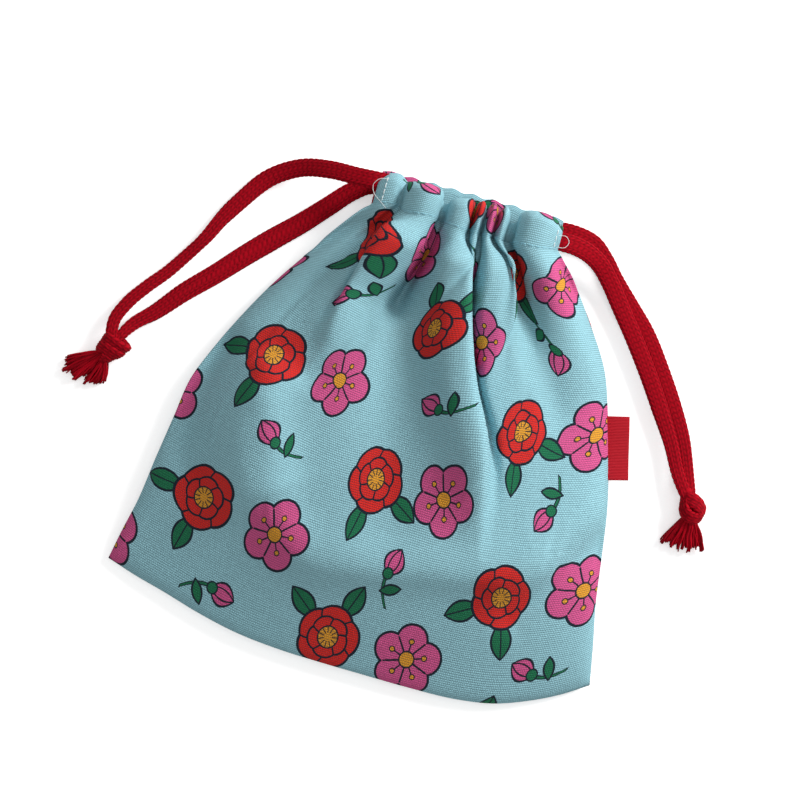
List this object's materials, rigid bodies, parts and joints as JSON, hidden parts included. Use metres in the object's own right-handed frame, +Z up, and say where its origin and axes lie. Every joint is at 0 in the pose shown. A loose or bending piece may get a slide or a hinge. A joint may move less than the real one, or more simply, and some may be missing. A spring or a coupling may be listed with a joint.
{
  "type": "drawstring pouch",
  "caption": "Soft canvas drawstring pouch lying on its back, its gathered mouth closed by flat braided drawcords that leave at both sides and end in knots with frayed tassels.",
  "frame": {"origin": "on the table, under the middle of the cloth's outline", "axes": "+X across the pouch, +Y from the base fold to the mouth, +Z up out of the front"},
  "size_m": [0.2655, 0.1976, 0.036],
  "materials": {
    "canvas": "matt printed cotton canvas",
    "braid": "matt tubular braid, pressed flat",
    "woven_tape": "fine woven tape"
  },
  "bodies": {
    "pouch": {"pouch_cloth": "canvas", "side_label": "woven_tape"},
    "left_cord": {"left_drawcord": "braid", "left_knot": "braid", "left_tassel": "braid"},
    "right_cord": {"right_drawcord": "braid", "right_knot": "braid", "right_tassel": "braid"}
  },
  "joints": [
    {"name": "left_cord_run", "type": "slide", "parent": "pouch", "child": "left_cord", "axis": [1, 0, 0], "range_m": [0, 0.01]},
    {"name": "right_cord_run", "type": "slide", "parent": "pouch", "child": "right_cord", "axis": [-1, 0, 0], "range_m": [0, 0.01]}
  ]
}
